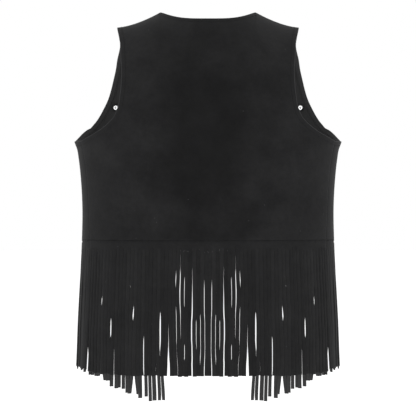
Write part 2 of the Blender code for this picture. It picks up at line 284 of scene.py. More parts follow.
# Rivets
RIVET_SHADOW_RADIUS = 0.0066        # radius of the painted shadow round a rivet
RIVET_SIDES = 48
RIVET_PROFILE = (
    # radius, height over the middle of the cloth, from the outer cap to the inner washer
    (0.0003, 0.00248),
    (0.0012, 0.00242),
    (0.0022, 0.00222),
    (0.0031, 0.00190),
    (0.0037, 0.00158),
    (0.0040, 0.00120),
    (0.0040, 0.00092),
    (0.0037, 0.00075),
    (0.0016, 0.00075),
    (0.0016, -0.00075),
    (0.0038, -0.00075),
    (0.0040, -0.00095),
    (0.0040, -0.00140),
    (0.0038, -0.00162),
    (0.0035, -0.00170),
    (0.0012, -0.00174),
    (0.0009, -0.00160),
    (0.0003, -0.00155),
)


def smooth(table, height, column=1):
    """Value of a table's column at a height, on a smooth curve through its rows."""
    heights = np.array([row[0] for row in table])
    values = np.array([row[column] for row in table])
    slopes = np.gradient(values, heights)
    i = int(np.clip(np.searchsorted(heights, height) - 1, 0, len(heights) - 2))
    step = heights[i + 1] - heights[i]
    t = float(np.clip((height - heights[i]) / step, 0, 1))
    start = (2 * t**3 - 3 * t**2 + 1) * values[i] + (t**3 - 2 * t**2 + t) * step * slopes[i]
    end = (3 * t**2 - 2 * t**3) * values[i + 1] + (t**3 - t**2) * step * slopes[i + 1]
    return start + end


def ease(t):
    """0 to 1 with level ends, for a number or an array."""
    t = np.clip(t, 0.0, 1.0)
    return t * t * (3 - 2 * t)


rings = {}
TURNS = 721     # points of a ring


def ring(height):
    """Half of the level section: x, y and length along it, from mid back round the side to mid front."""
    key = round(height, 6)
    if key not in rings:
        half_width = smooth(WALL, height)
        back = smooth(WALL, height, 2)
        front = smooth(WALL, height, 3)
        turn = np.linspace(-math.pi / 2, math.pi / 2, TURNS)
        x = half_width * np.abs(np.cos(turn)) ** (2 / ROUNDNESS)
        forward = np.sin(turn)
        y = np.where(forward < 0, -back, front) * np.abs(forward) ** (2 / ROUNDNESS)
        along = np.concatenate(([0.0], np.cumsum(np.hypot(np.diff(x), np.diff(y)))))
        rings[key] = (x, y, along)
    return rings[key]


def along_back(height, x):
    """Length along the section to the point of its back half with this x."""
    xs, _, along = ring(height)
    middle = len(xs) // 2 + 1
    return float(np.interp(x, xs[:middle], along[:middle]))


def along_front(height, x):
    xs, _, along = ring(height)
    middle = len(xs) // 2
    return float(np.interp(-x, -xs[middle:], along[middle:]))


def on_ring(height, length):
    """x and y at a length along the section; a negative length is on the other side."""
    xs, ys, along = ring(height)
    x = float(np.interp(abs(length), along, xs))
    y = float(np.interp(abs(length), along, ys))
    return math.copysign(x, length), y


def ridge(x):
    """y and z of the shoulder ridge, level past the tip and rounding up inside the neck."""
    rise = min(max((TIP_X - abs(x)) / (TIP_X - NECK_X), 0.0), 1.0)
    y = TIP_Y + (NECK_Y - TIP_Y) * rise
    z = TIP_Z + (NECK_Z - TIP_Z) * rise**RIDGE_SAG
    if abs(x) < NECK_X:
        slope = RIDGE_SAG * (NECK_Z - TIP_Z) / (TIP_X - NECK_X)
        z += slope * NECK_X / 2 * (1 - (x / NECK_X) ** 2)
    return y, z


def round_over(x, wall_y, wall_top, tilt):
    """A point above the upright wall, on the quarter round from its top to the ridge."""
    ridge_y, ridge_z = ridge(x)
    y = ridge_y + (wall_y - ridge_y) * math.cos(tilt)
    z = wall_top + (ridge_z - wall_top) * math.sin(tilt)
    return np.array((x, y, z))


def neckline_tilt(x):
    """How far round the back reaches at this x: to the ridge, or to the neckline inside it."""
    if abs(x) >= NECK_X:
        return math.pi / 2
    _, ridge_z = ridge(x)
    top = NECKLINE_Z + (NECK_Z - NECKLINE_Z) * (abs(x) / NECK_X) ** NECKLINE_POWER
    return math.asin((top - BACK_WALL_TOP) / (ridge_z - BACK_WALL_TOP))


def edge_height(wall_top, tilt):
    return wall_top + (TIP_Z - wall_top) * math.sin(tilt)


def back_point(column, row):
    """A corner of the back's grid, from the hem up and from -X to +X."""
    across = 2 * column / BACK_COLUMNS - 1
    if row <= BACK_WALL_ROWS:
        height = BACK_HEM_Z + (BACK_WALL_TOP - BACK_HEM_Z) * row / BACK_WALL_ROWS
        edge_table = SIDE_SEAM if height <= UNDERARM_Z else BACK_ARMHOLE
        edge = along_back(height, smooth(edge_table, height)) - SEAM / 2
        x, y = on_ring(height, across * edge)
        return np.array((x, y, height))
    full_tilt = math.pi / 2 * (row - BACK_WALL_ROWS) / BACK_TOP_ROWS
    edge_x = smooth(BACK_ARMHOLE, edge_height(BACK_WALL_TOP, full_tilt))
    edge = along_back(BACK_WALL_TOP, edge_x)
    x, wall_y = on_ring(BACK_WALL_TOP, across * edge)
    top_x, _ = on_ring(BACK_WALL_TOP, across * along_back(BACK_WALL_TOP, TIP_X))
    tilt = full_tilt * neckline_tilt(top_x) / (math.pi / 2)
    point = round_over(x, wall_y, BACK_WALL_TOP, tilt)
    point[1] -= SEAM / 2
    return point


def hem_height(share):
    """Height of a front's hem, from the side seam (0) to the front edge (1)."""
    drop = math.sin(math.pi / 2 * share**HEM_SLANT) ** 2
    return BACK_HEM_Z + (FRONT_HEM_Z - BACK_HEM_Z) * drop


def seam_length(height):
    """Length along the section from mid back to the side seam, or to its line below the hem."""
    if height >= BACK_HEM_Z:
        return along_back(height, smooth(SIDE_SEAM, height))
    quarter = along_back(height, smooth(WALL, height))
    hem_quarter = along_back(BACK_HEM_Z, smooth(WALL, BACK_HEM_Z))
    return seam_length(BACK_HEM_Z) * quarter / hem_quarter


def front_length(height, share):
    """Length along the section, from the side seam (0) to the front edge (1)."""
    seam = seam_length(height) + SEAM / 2
    edge = along_front(height, smooth(FRONT_EDGE, height))
    return seam + (edge - seam) * share


def front_point(column, row, side):
    """A corner of a front's grid, from the hem up and from the side seam to the front edge."""
    share = column / FRONT_COLUMNS
    if row <= FRONT_WALL_ROWS:
        up = row / FRONT_WALL_ROWS
        foot = min(column / FOOT_COLUMNS, 1) * FRONT_ARMHOLE_FOOT[-1][0]
        foot_z = smooth(FRONT_ARMHOLE_FOOT, foot)
        height = hem_height(share) * (1 - up) + foot_z * up
        x, y = on_ring(height, front_length(height, share))
        return np.array((side * x, y, height))
    tilt = math.pi / 2 * (row - FRONT_WALL_ROWS) / FRONT_TOP_ROWS
    outer_x = smooth(FRONT_ARMHOLE, edge_height(FRONT_WALL_TOP, tilt))
    inner_z = FRONT_WALL_TOP + (NECK_Z - FRONT_WALL_TOP) * math.sin(tilt)
    outer = along_front(FRONT_WALL_TOP, outer_x)
    inner = along_front(FRONT_WALL_TOP, smooth(FRONT_EDGE, inner_z))
    strap_share = (column - FOOT_COLUMNS) / (FRONT_COLUMNS - FOOT_COLUMNS)
    x, wall_y = on_ring(FRONT_WALL_TOP, outer + (inner - outer) * max(strap_share, 0.0))
    point = round_over(x, wall_y, FRONT_WALL_TOP, tilt)
    return np.array((side * point[0], point[1] + SEAM / 2, point[2]))


def front_armhole_cut(column, row):
    return row >= FRONT_WALL_ROWS and column < FOOT_COLUMNS


# Soft creases of the cloth: degrees round from mid back and height of both ends, half width, depth
BACK_CREASES = (
    (-58, -0.212, -34, -0.262, 0.011, 0.0016),
    (57, -0.216, 38, -0.250, 0.010, 0.0014),
    (-50, -0.200, -36, -0.232, 0.009, -0.0009),
    (49, -0.203, 33, -0.240, 0.010, -0.0008),
    (-24, -0.060, -15, -0.150, 0.014, 0.0009),
    (26, -0.050, 18, -0.128, 0.013, 0.0010),
    (-46, -0.300, -20, -0.318, 0.012, 0.0010),
    (50, -0.292, 26, -0.322, 0.013, 0.0009),
    (-8, -0.215, 12, -0.228, 0.016, 0.0007),
    (-14, -0.300, 6, -0.292, 0.015, -0.0006),
)
FRONT_CREASES = (
    (118, -0.215, 146, -0.268, 0.012, 0.0018),
    (124, -0.206, 140, -0.236, 0.009, -0.0010),
    (152, -0.060, 160, -0.140, 0.013, 0.0011),
    (104, -0.290, 132, -0.312, 0.014, 0.0013),
    (150, -0.330, 168, -0.352, 0.016, 0.0010),
    (96, -0.232, 112, -0.252, 0.010, 0.0008),
)
TURN_METRE = 0.0030     # metres of cloth in a degree of turn
TURN_WIDTH, TURN_DEPTH = 0.205, 0.108   # the oval that the turn is measured on
CREASE_FADE = 0.7


def crease_depth(points, table, side):
    """How far the creases of a table press the cloth in at each point."""
    turn = np.degrees(np.arctan2(points[:, 0] / TURN_WIDTH, -points[:, 1] / TURN_DEPTH)) * side
    across = turn * TURN_METRE
    height = points[:, 2]
    total = np.zeros(len(points))
    for turn_a, height_a, turn_b, height_b, half_width, depth in table:
        start = np.array((turn_a * TURN_METRE, height_a))
        run = np.array((turn_b * TURN_METRE, height_b)) - start
        place = ((across - start[0]) * run[0] + (height - start[1]) * run[1]) / (run @ run)
        near = np.clip(place, 0, 1)
        gap = np.hypot(across - start[0] - near * run[0], height - start[1] - near * run[1])
        fade = np.sin(math.pi * near) ** CREASE_FADE
        total += depth * fade * np.exp(-((gap / half_width) ** 2))
    return total


def curve_distance(points, curves):
    """Distance of each point from the nearest of several dense curves."""
    dense = np.concatenate(curves)
    tree = KDTree(len(dense))
    for i, place in enumerate(dense):
        tree.insert(place, i)
    tree.balance()
    return np.array([tree.find(point)[2] for point in points])


def length_along(curve):
    return np.concatenate(([0.0], np.cumsum(np.linalg.norm(np.diff(curve, axis=0), axis=1))))


def vectors_at(place, run, vectors):
    """Vectors at one or more lengths along a curve, between those that are given along it."""
    return np.stack([np.interp(place, run, vectors[:, axis]) for axis in range(3)], axis=-1)


def resample(curve, step):
    """The same curve with points at even steps."""
    run = length_along(curve)
    return vectors_at(np.linspace(0, run[-1], max(int(run[-1] / step), 2)), run, curve)


def unit(vectors):
    return vectors / np.maximum(np.linalg.norm(vectors, axis=-1, keepdims=True), 1e-12)


def corner_normals(points, quads):
    """Normals of the points of a quad mesh."""
    a, b, c, d = (points[quads[:, i]] for i in range(4))
    flat = np.cross(c - a, d - b)
    normals = np.zeros_like(points)
    for i in range(4):
        np.add.at(normals, quads[:, i], flat)
    return unit(normals)


def add_object(name, data, place=(0, 0, 0)):
    thing = bpy.data.objects.new(name, data)
    thing.location = place
    scene.collection.objects.link(thing)
    return thing


class Cloth:
    """A closed cloth wall with a rounded rim, made from a grid of points."""

    def __init__(self, grid, left_out=None, flip=False, relief=None, rim=EDGE_ROUND, thick=CLOTH):
        rows, columns = grid.shape[:2]
        quads = []
        for row in range(rows - 1):
            for column in range(columns - 1):
                if left_out and left_out(column, row):
                    continue
                corner = row * columns + column
                quad = (corner, corner + 1, corner + columns + 1, corner + columns)
                quads.append(quad[::-1] if flip else quad)
        quads = np.array(quads)
        used, flat_quads = np.unique(quads, return_inverse=True)
        self.used = used
        self.quads = flat_quads.reshape(quads.shape)
        self.middle = grid.reshape(-1, 3)[used]
        self.normals = corner_normals(self.middle, self.quads)
        if relief:
            self.middle = self.middle + self.normals * relief(self.middle)[:, None]
            self.normals = corner_normals(self.middle, self.quads)
        self.tree = BVHTree.FromPolygons(self.middle.tolist(), self.quads.tolist())
        rims = rim(used) if callable(rim) else np.full(len(used), rim)
        self.close(rims, thick)

    def close(self, rims, thick):
        """Outer and inner side, joined by a half round rim."""
        quads = self.quads.tolist()
        edges = dict.fromkeys(edge for quad in quads for edge in zip(quad, quad[1:] + quad[:1]))
        border = [(a, b) for a, b in edges if (b, a) not in edges]
        after = dict(border)
        before = {b: a for a, b in border}
        corners = sorted(after)
        loop = np.array(corners)
        index = {corner: i for i, corner in enumerate(corners)}
        ahead = np.array([after[corner] for corner in corners])
        behind = np.array([before[corner] for corner in corners])
        tangent = unit(unit(self.middle[ahead] - self.middle[loop])
                       + unit(self.middle[loop] - self.middle[behind]))
        outward = unit(np.cross(tangent, self.normals[loop]))
        rim = rims[loop][:, None]
        middle = self.middle.copy()
        middle[loop] -= outward * rim
        count = len(middle)
        layers = [middle + self.normals * thick / 2, middle - self.normals * thick / 2]
        sources = [np.arange(count), np.arange(count)]
        for angle in RIM_ANGLES:
            up = math.sin(math.radians(angle)) * thick / 2
            out = math.cos(math.radians(angle)) * rim
            layers.append(middle[loop] + self.normals[loop] * up + outward * out)
            sources.append(loop)
        self.points = np.concatenate(layers)
        self.sources = np.concatenate(sources)
        # points of the inner side get the painted light that makes that side paler
        self.reverse = np.zeros(len(self.points))
        self.reverse[count:2 * count] = 1.0
        self.faces = quads + [[count + corner for corner in quad[::-1]] for quad in quads]

        def down(corner):
            """Its points on the outer side, the rim and the inner side."""
            on_rim = [2 * count + i * len(loop) + index[corner] for i in range(len(RIM_ANGLES))]
            return [corner, *on_rim, count + corner]

        for a, b in border:
            left, right = down(a), down(b)
            for i in range(len(left) - 1):
                self.faces.append([left[i], left[i + 1], right[i + 1], right[i]])

    def beside(self, curve, inside, distance):
        """Points and normals on the cloth at a distance from a curve along its edge."""
        tangent = unit(np.gradient(curve, axis=0))
        places, normals = [], []
        for point, along in zip(curve, tangent):
            near, normal, _, _ = self.tree.find_nearest(Vector(point))
            across = normal.cross(Vector(along)).normalized()
            if across.dot(Vector(inside) - near) < 0:
                across.negate()
            spot, facing, _, _ = self.tree.find_nearest(near + across * distance)
            places.append(np.array(spot))
            normals.append(np.array(facing))
        return np.array(places), unit(np.array(normals))


def add_mesh(name, parts, surface, attributes=None):
    """One object from several sets of points and faces, shaded smooth."""
    points, faces = [], []
    shift = 0
    for part_points, part_faces in parts:
        points.append(part_points)
        faces += [[corner + shift for corner in face] for face in part_faces]
        shift += len(part_points)
    mesh = bpy.data.meshes.new(name)
    mesh.from_pydata(np.concatenate(points).tolist(), [], faces)
    mesh.shade_smooth()
    for label, values in (attributes or {}).items():
        attribute = mesh.attributes.new(label, "FLOAT", "POINT")
        attribute.data.foreach_set("value", np.asarray(values, dtype=np.float32))
    mesh.materials.append(surface)
    return add_object(name, mesh)


def grid_of(point, columns, rows):
    return np.array([[point(column, row) for column in range(columns + 1)] for row in range(rows + 1)])


def turned_hem(cloth, curve, inside):
    """The cloth turned in along an edge, lying on the panel's inner side."""
    lines = []
    for distance in FOLD_PLACES:
        places, normals = cloth.beside(curve, inside, distance)
        lines.append(places - normals * (CLOTH / 2 + FOLD / 2 - FOLD_SUNK))
    band = Cloth(np.stack(lines), rim=FOLD_RIM, thick=FOLD)
    return band.points, band.faces


def circle(centre, aside, up, radius, sides):
    turns = 2 * math.pi * np.arange(sides) / sides
    return centre + radius * (np.outer(np.cos(turns), aside) + np.outer(np.sin(turns), up))


def tube_faces(first, rings_count, sides):
    """Faces of a closed tube, whose rings of corners follow each other from the first corner."""
    faces = []
    for r in range(rings_count - 1):
        for k in range(sides):
            a = first + r * sides + k
            b = first + r * sides + (k + 1) % sides
            faces.append([a, a + sides, b + sides, b])
    last = first + (rings_count - 1) * sides
    faces.append([first + k for k in range(sides)])
    faces.append([last + k for k in reversed(range(sides))])
    return faces


def stitches(cloth, curve, inside, lift, chance):
    """Thread ends to end along a curve beside an edge, on one side of the cloth."""
    places, normals = cloth.beside(resample(curve, STITCH_STEP), inside, HEM_STITCH)
    run = length_along(places)
    pitch = STITCH_LENGTH + STITCH_GAP
    points, faces = [], []
    for i in range(int((run[-1] - 2 * STITCH_MARGIN) / pitch)):
        start = STITCH_MARGIN + i * pitch + chance.uniform(-0.0001, 0.0001)
        length = STITCH_LENGTH * chance.uniform(0.94, 1.04)
        ends = [vectors_at(start + part, run, places) for part in (0, length)]
        up = unit(vectors_at(start + length / 2, run, normals))
        along = unit(ends[1] - ends[0])
        across = np.cross(up, along)
        ends[1] = ends[1] + across * chance.uniform(-0.0002, 0.0002)
        first = len(points)
        facing = math.copysign(1.0, lift)
        for part, radius, height in STITCH_RINGS:
            centre = ends[0] + (ends[1] - ends[0]) * part
            centre = centre + up * (lift + facing * height * STITCH_RADIUS)
            points += [*circle(centre, across, up, radius * STITCH_RADIUS, STITCH_SIDES)]
        faces += tube_faces(first, len(STITCH_RINGS), STITCH_SIDES)
    return np.array(points), faces


def add_panel(name, cloth, hems, surface, rivet=None):
    """A panel with its turned hems, and the distances that its material reads."""
    parts = [(cloth.points, cloth.faces)]
    for curve, inside in hems:
        parts.append(turned_hem(cloth, resample(curve, HEM_STEP), inside))
    hem = curve_distance(cloth.middle, [resample(curve, NEAR_STEP) for curve, _ in hems])
    # painted shadow round the rivet, as a share that the material reads
    rivet_shadow = np.zeros(len(cloth.middle))
    if rivet is not None:
        away = np.linalg.norm(cloth.middle - rivet, axis=1)
        rivet_shadow = np.exp(-(away / RIVET_SHADOW_RADIUS) ** 4)
    rest = np.zeros(sum(len(points) for points, _ in parts[1:]))
    # the turned hems get the painted light of the inner side too, though they show the face
    attributes = {
        "hem": np.concatenate((hem[cloth.sources], rest + 1.0)),
        "rivet_shadow": np.concatenate((rivet_shadow[cloth.sources], rest)),
        "reverse": np.concatenate((cloth.reverse, rest + 1.0)),
    }
    return add_mesh(name, parts, surface, attributes)


def opening_at(height, opening, start, full, closes, shut):
    return opening * ease((start - height) / (start - full)) * ease((height - shut) / (closes - shut))


def parting_shift(distance, height, pitch, openings):
    """Sideways shift of a strand at this distance, away from the slits that stand open."""
    shift = 0.0
    for slit, *window in openings:
        away = distance - slit * pitch
        push = opening_at(height, *window) / 2 * math.exp(-abs(away) / PARTING_REACH)
        shift += push if away > 0 else -push
    return shift


def with_loose_slits(openings, first, last, chance):
    """A table of openings with small ones added at some of its other slits from first to last."""
    taken = {row[0] for row in openings}
    added = []
    for slit in range(first, last):
        if slit not in taken and chance.random() < LOOSE_SLITS:
            start = chance.uniform(*LOOSE_START)
            closes = start - chance.uniform(*LOOSE_LENGTH)
            opening = chance.uniform(*LOOSE_OPENING)
            added.append((slit, opening, start, start - LOOSE_FADE, closes, closes - LOOSE_FADE))
    return openings + tuple(added)


class Strand:
    """How one strand of the fringe hangs: its sway, lean, twist and end."""

    def __init__(self, chance, liveliness):
        pick = chance.uniform
        self.end = pick(-0.0028, 0.0028) * liveliness
        self.root = pick(-0.0045, 0.0045)
        self.sway = pick(-0.0005, 0.0005) * liveliness
        self.waves = pick(0.6, 1.4)
        self.start = pick(0, 2 * math.pi)
        self.lean = pick(-0.0008, 0.0008) * liveliness
        self.lift = pick(-0.0010, 0.0016) * liveliness
        self.twist = math.radians(pick(-8, 8)) * liveliness
        self.curl = pick(0.0001, 0.0005)
        self.layer = pick(-1, 1)
        self.shade = pick(0, 1)

    def offset(self, fall, across, half):
        """Sideways and outward shift of a point of the strand, by its place across it."""
        turn = self.twist * fall**1.5
        wave = math.sin(2 * math.pi * self.waves * fall + self.start) - math.sin(self.start)
        aside = self.sway * wave * fall + self.lean * fall**3 - across * (1 - math.cos(turn))
        out = self.lift * fall**2 + self.sway * wave * SWAY_OUT * fall + across * math.sin(turn)
        out -= self.curl * (across / half) ** 2 * ease(fall / CURL_DROP)
        return aside, out


def strand_rows(hem, end, root):
    """Heights of a strand's rows from its end up to the top of the strip."""
    below_root = root - BELOW_ROOT
    rows = [end + (below_root - end) * i / (STRAND_ROWS - 1) for i in range(STRAND_ROWS)]
    return rows + [root] + [root + (hem + TUCK - root) * i / STRIP_ROWS for i in range(1, STRIP_ROWS + 1)]


def tuck(height, hem):
    """How far in the strip lies, behind the hem that it is sewn to."""
    return TUCK_DEPTH * ease((height - hem + TUCK_RISE) / TUCK_RISE)


NEARBY = 0.002          # length on each side, for the direction


def ring_frame(height, length):
    """A point of the section with its outward direction."""
    x, y = on_ring(height, length)
    ahead = np.array(on_ring(height, length + NEARBY))
    behind = np.array(on_ring(height, length - NEARBY))
    aside = unit(ahead - behind)
    return np.array((x, y)), np.array((aside[1], -aside[0]))


def fringe_grid(strands, pitch, place):
    """Grid of a fringe: STRAND_COLUMNS quads on a strand and one between two strands."""
    columns = strands * (STRAND_COLUMNS + 1)
    grid = np.zeros((STRAND_ROWS + STRIP_ROWS + 1, columns, 3))
    for column in range(columns):
        strand, part = divmod(column, STRAND_COLUMNS + 1)
        for row in range(len(grid)):
            half = (pitch + OVERLAP if row < STRAND_ROWS else pitch - CREVICE) / 2
            grid[row, column] = place(strand, (2 * part / STRAND_COLUMNS - 1) * half, row)
    return grid


def fall_of(row):
    return max(0.0, (STRAND_ROWS - row) / STRAND_ROWS)


def back_fringe(chance):
    half = seam_length(BACK_HEM_Z) - SEAM / 2
    pitch = 2 * half / BACK_STRANDS
    openings = with_loose_slits(BACK_OPENINGS, 10, BACK_STRANDS // 2 - 1, chance)
    strands = [Strand(chance, LIVELY_BACK) for _ in range(BACK_STRANDS)]

    def place(strand, across, row):
        middle = (strand + 0.5) * pitch - half
        mirrored = -1 if middle > 0 else 1
        hang = strands[min(strand, BACK_STRANDS - 1 - strand)]
        fall = fall_of(row)
        trim = BACK_TRIM * math.exp(-(half - abs(middle)) / BACK_TRIM_REACH)
        end = BACK_HEM_Z - FRINGE_LENGTH + trim + hang.end
        height = strand_rows(BACK_HEM_Z, end, BACK_HEM_Z - STRIP + hang.root)[row]
        flare = seam_length(height) / seam_length(BACK_HEM_Z)
        shift = -mirrored * parting_shift(abs(middle), height, pitch, openings)
        near_drift = math.exp(-(((abs(middle) - DRIFT_PLACE) / DRIFT_REACH) ** 2))
        shift += mirrored * DRIFT * near_drift * (ease(fall) - DRIFT_BEFORE * ease(fall / DRIFT_BEFORE_DROP))
        aside, out = hang.offset(fall, across * mirrored, pitch / 2)
        out += STAGGER * hang.layer * ease(fall / STAGGER_DROP)
        out += FLICK * math.exp(-(half - abs(middle)) / FLICK_REACH) * fall**3
        out -= tuck(height, BACK_HEM_Z)
        length = (middle + across) * flare + shift + aside * mirrored
        point, outward = ring_frame(height, length)
        return np.array((*(point + outward * out), height))

    return fringe_grid(BACK_STRANDS, pitch, place), [strand.shade for strand in strands]


class FrontWays:
    """Where the slits of a front's fringe run, and the room of the strands between two of them."""

    def __init__(self):
        self.width = front_length(BACK_HEM_Z, 1) - front_length(BACK_HEM_Z, 0)
        self.pitch = self.width / FRONT_STRANDS
        self.rows = []
        for slit, end_x in FRONT_WAYS:
            share = 1 - slit / FRONT_STRANDS
            end = hem_height(share) - FRINGE_LENGTH
            self.rows.append((slit, front_length(end, share) - along_front(end, end_x)))
        self.rows.append((FRONT_STRANDS, 0.0))

    def slit_place(self, slit, moved, height, fall):
        place = front_length(height, 1 - slit / FRONT_STRANDS) - moved * ease(fall / SPREAD_DROP)
        bulge = BULGE * math.exp(-slit * self.pitch / BULGE_REACH)
        return place - bulge * ease(fall / BULGE_DROP) * ease((1 - fall) / BULGE_DROP)

    def strand_place(self, number, height, fall):
        """Middle and width of a strand, counted from the front edge, and its side in a crowd."""
        after = next(i for i, (slit, _) in enumerate(self.rows) if slit > number)
        near, far = self.rows[after - 1], self.rows[after]
        openings = [sum(opening_at(height, *window) for slit, *window in FRONT_OPENINGS if slit == row[0])
                    for row in (near, far)]
        high = self.slit_place(*near, height, fall) - openings[0] / 2
        low = self.slit_place(*far, height, fall) + openings[1] / 2
        flare = (front_length(height, 1) - front_length(height, 0)) / self.width
        wide = min(self.pitch * flare, high - low) + OVERLAP
        count = far[0] - near[0]
        step = (high - low - wide) / (count - 1) if count > 1 else self.pitch
        rank = far[0] - 1 - number
        crowd = ease((wide - step) / wide / CROWDED - CROWD_START) * (1 if rank % 2 else -1)
        return low + wide / 2 + rank * step, wide, crowd


def front_fringe(side, chance):
    ways = FrontWays()
    width, pitch = ways.width, ways.pitch
    loose = with_loose_slits((), 2, FRONT_STRANDS - 2, chance)
    strands = [Strand(chance, LIVELY_FRONT) for _ in range(FRONT_STRANDS)]

    def place(strand, across, row):
        middle = (strand + 0.5) * pitch
        hang = strands[strand]
        fall = fall_of(row)
        strand_hem = hem_height(middle / width)
        share = min(max((middle + across) / width, 0.0), 1.0)
        hem = hem_height(share) if row > STRAND_ROWS else strand_hem
        number = FRONT_STRANDS - 1 - strand
        end = strand_hem - FRINGE_LENGTH + np.interp(number, *zip(*FRONT_TRIM)) + hang.end
        height = strand_rows(hem, end, strand_hem - STRIP + hang.root)[row]
        aside, out = hang.offset(fall, across, pitch / 2)
        out += STAGGER * hang.layer * ease(fall / STAGGER_DROP)
        out += FLICK * math.exp(-middle / FLICK_REACH) * fall**3
        out -= tuck(height, hem)
        length = front_length(height, share)
        if row < STRAND_ROWS:
            centre, wide, crowd = ways.strand_place(number, height, fall)
            length = centre + across / pitch * wide - parting_shift(width - middle, height, pitch, loose)
            out += LAYERING * crowd * ease(fall / LAYERING_DROP)
        point, outward = ring_frame(height, length + aside * LOOSE_SWAY)
        x, y = point + outward * out
        return np.array((side * x, y, height))

    return fringe_grid(FRONT_STRANDS, pitch, place), [strand.shade for strand in strands]


def between_strands(column, row):
    return row < STRAND_ROWS and column % (STRAND_COLUMNS + 1) == STRAND_COLUMNS


def add_fringe(name, grid, shades, surface, flip=False, mirrored=False):
    columns = grid.shape[1]

    def rims(used):
        return np.where(used // columns >= STRAND_ROWS, ROOT_RIM, STRAND_RIM)

    cloth = Cloth(grid, between_strands, flip=flip, rim=rims)
    strand = (cloth.used % columns) // (STRAND_COLUMNS + 1)
    row = cloth.used // columns
    if mirrored:
        strand = np.minimum(strand, len(shades) - 1 - strand)
    tone = np.where(row > STRAND_ROWS, 0.5, np.array(shades)[strand])
    # the fringe's inner side gets the same painted light
    return add_mesh(name, [(cloth.points, cloth.faces)], surface,
                    {"tone": tone[cloth.sources], "reverse": cloth.reverse})


def rivet_axis(node):
    """Middle and axis of a turned solid, the axis being the direction that it is thinnest in."""
    corners = np.empty(len(node.data.vertices) * 3)
    node.data.vertices.foreach_get("co", corners)
    corners = corners.reshape(-1, 3)
    middle = (corners.min(axis=0) + corners.max(axis=0)) / 2
    _, _, directions = np.linalg.svd(corners - corners.mean(axis=0), full_matrices=False)
    axis = directions[2]
    return middle, axis if axis[1] > 0 else -axis


def turned_rivet(name, node, surface):
    """The rivet with a rounded cap outside and a flat washer with a sunken middle inside."""
    middle, axis = rivet_axis(node)
    aside = unit(np.cross(axis, (0, 0, 1)))
    up = np.cross(aside, axis)
    circles = [circle(middle + axis * height, aside, up, radius, RIVET_SIDES)
               for radius, height in RIVET_PROFILE]
    faces = tube_faces(0, len(circles), RIVET_SIDES)
    return add_mesh(name, [(np.concatenate(circles), faces)], surface), middle


# Materials, with their noises as scale, detail and roughness
NAP, NAP_SHARE = (22, 4, 0.6), 0.40
BRUSHED, BRUSHED_SHARE = (140, 3, 0.6), 0.30
GRAIN, GRAIN_SHARE = (800, 3, 0.7), 0.30
LINT_PLACES = (31, 1, 0.55)
LINT_PLACES_FROM = 0.58
LINT_SPOTS = 75         # in a metre
LINT_SIZE = 0.045       # of their distance
LINT_SHARE = 0.6
STEEL_MARKS = (2600, 2)
STEEL_SCUFFS = (420, 3)
THREAD_TWIST = (3200, 2)
# paler colour of the inner side, partly painted light that makes up for the shade in the hollow
INNER_SIDE_PAINTED_LIGHT = (0.056, 0.056, 0.0565)
LINT = (0.10, 0.10, 0.10)
# painted highlight along the hem edges, where a turned edge catches light
PAINTED_EDGE_HIGHLIGHT = (0.052, 0.052, 0.053)
# painted shadow in a ring round each rivet
PAINTED_RIVET_SHADOW = (0.004, 0.004, 0.004)
# painted shade: colour darkened down the middle of the back, where less light falls
PAINTED_CENTRE_SHADE = (0.005, 0.005, 0.005)
PAINTED_CENTRE_SHADE_PLACE = (0, -0.115, -0.185)    # down the middle of the back, where the painted shade is darkest
PAINTED_CENTRE_SHADE_REACH = 0.125
PAINTED_CENTRE_SHADE_HEIGHT = 2.0   # of it for its width


def new_material(name):
    made = bpy.data.materials.new(name)
    made.use_nodes = True
    tree = made.node_tree
    shader = tree.nodes["Principled BSDF"]
    return made, tree, shader


def set_sockets(node, values):
    for label, value in values.items():
        node.inputs[label].default_value = value


def add_node(tree, kind, **values):
    node = tree.nodes.new(kind)
    for key, value in values.items():
        if key in node.inputs:
            node.inputs[key].default_value = value
        else:
            setattr(node, key, value)
    return node


def ramp(tree, source, stops):
    """A colour ramp from (place, value) stops."""
    node = tree.nodes.new("ShaderNodeValToRGB")
    elements = node.color_ramp.elements
    while len(elements) < len(stops):
        elements.new(0.5)
    for element, (place, colour) in zip(elements, stops):
        element.position = place
        element.color = (*colour, 1) if hasattr(colour, "__len__") else (colour, colour, colour, 1)
    tree.links.new(source, node.inputs["Fac"])
    return node.outputs["Color"]


def add_noise(tree, scale, detail, rough=0.5):
    place = add_node(tree, "ShaderNodeTexCoord").outputs["Object"]
    node = add_node(tree, "ShaderNodeTexNoise", Scale=scale, Detail=detail, Roughness=rough)
    tree.links.new(place, node.inputs["Vector"])
    return node.outputs["Fac"]


def add_bump(tree, height, strength, distance, under=None):
    """Normal of a bump by a height, on top of another bump's normal."""
    node = add_node(tree, "ShaderNodeBump", Strength=strength, Distance=distance)
    tree.links.new(height, node.inputs["Height"])
    if under:
        tree.links.new(under, node.inputs["Normal"])
    return node.outputs["Normal"]


